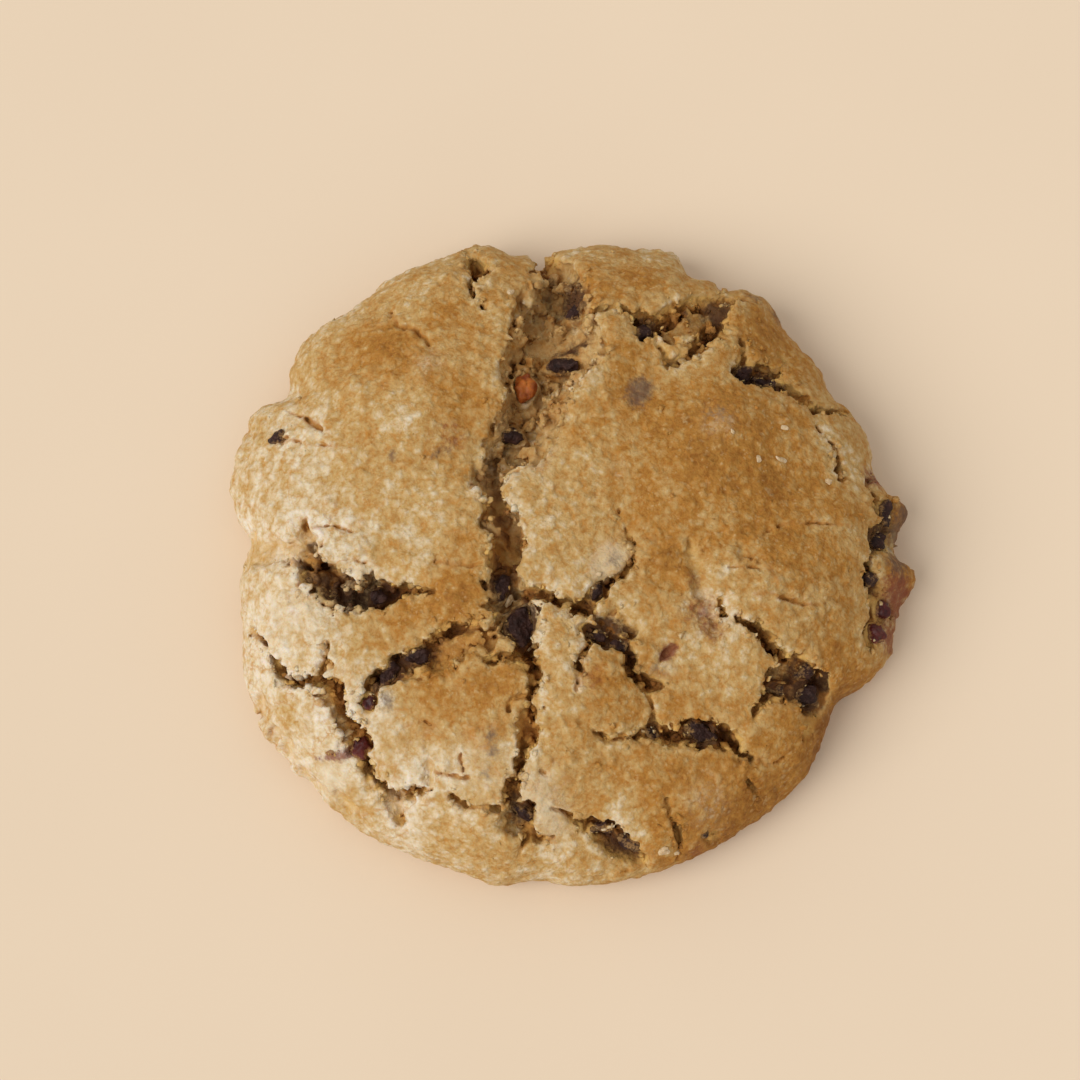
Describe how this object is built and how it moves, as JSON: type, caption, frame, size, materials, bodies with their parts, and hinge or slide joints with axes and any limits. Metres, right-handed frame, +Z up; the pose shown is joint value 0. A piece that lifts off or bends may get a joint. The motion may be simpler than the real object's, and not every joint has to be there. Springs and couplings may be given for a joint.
{
  "type": "chocolate chip cookie",
  "caption": "Thick round cookie with a cracked golden crust, dark chips and bits of dried fruit in the cracks, and a flat baked base.",
  "frame": {"origin": "on the flat base, under the middle of the outline", "axes": "+Z up, out of the cracked top; the widest crack runs from the middle towards +Y"},
  "size_m": [0.0964, 0.0937, 0.0228],
  "materials": {
    "baked_dough": "dry baked crust, tan to golden brown, brown and crumbly in the cracks",
    "dark_chocolate": "dark chocolate, dull gloss with a little bloom",
    "red_fruit": "wrinkled dried fruit, wine red, half shiny",
    "orange_fruit": "wrinkled dried fruit, orange, half shiny"
  },
  "bodies": {
    "root": {"dough": "baked_dough", "chip_01": "dark_chocolate", "chip_02": "dark_chocolate", "chip_03": "dark_chocolate", "chip_04": "dark_chocolate", "chip_05": "dark_chocolate", "chip_06": "dark_chocolate", "chip_07": "dark_chocolate", "chip_08": "dark_chocolate", "chip_09": "dark_chocolate", "chip_10": "dark_chocolate", "chip_11": "dark_chocolate", "chip_12": "dark_chocolate", "chip_13": "dark_chocolate", "chip_14": "dark_chocolate", "chip_15": "dark_chocolate", "chip_16": "dark_chocolate", "chip_17": "dark_chocolate", "chip_18": "dark_chocolate", "chip_19": "dark_chocolate", "chip_20": "dark_chocolate", "chip_21": "dark_chocolate", "chip_22": "dark_chocolate", "chip_23": "dark_chocolate", "chip_24": "dark_chocolate", "chip_25": "dark_chocolate", "chip_26": "dark_chocolate", "chip_27": "dark_chocolate", "chip_28": "dark_chocolate", "chip_29": "dark_chocolate", "chip_30": "dark_chocolate", "fruit_01": "orange_fruit", "fruit_02": "red_fruit", "fruit_03": "red_fruit", "fruit_04": "red_fruit", "fruit_05": "red_fruit", "fruit_06": "red_fruit", "fruit_07": "red_fruit"}
  },
  "joints": []
}
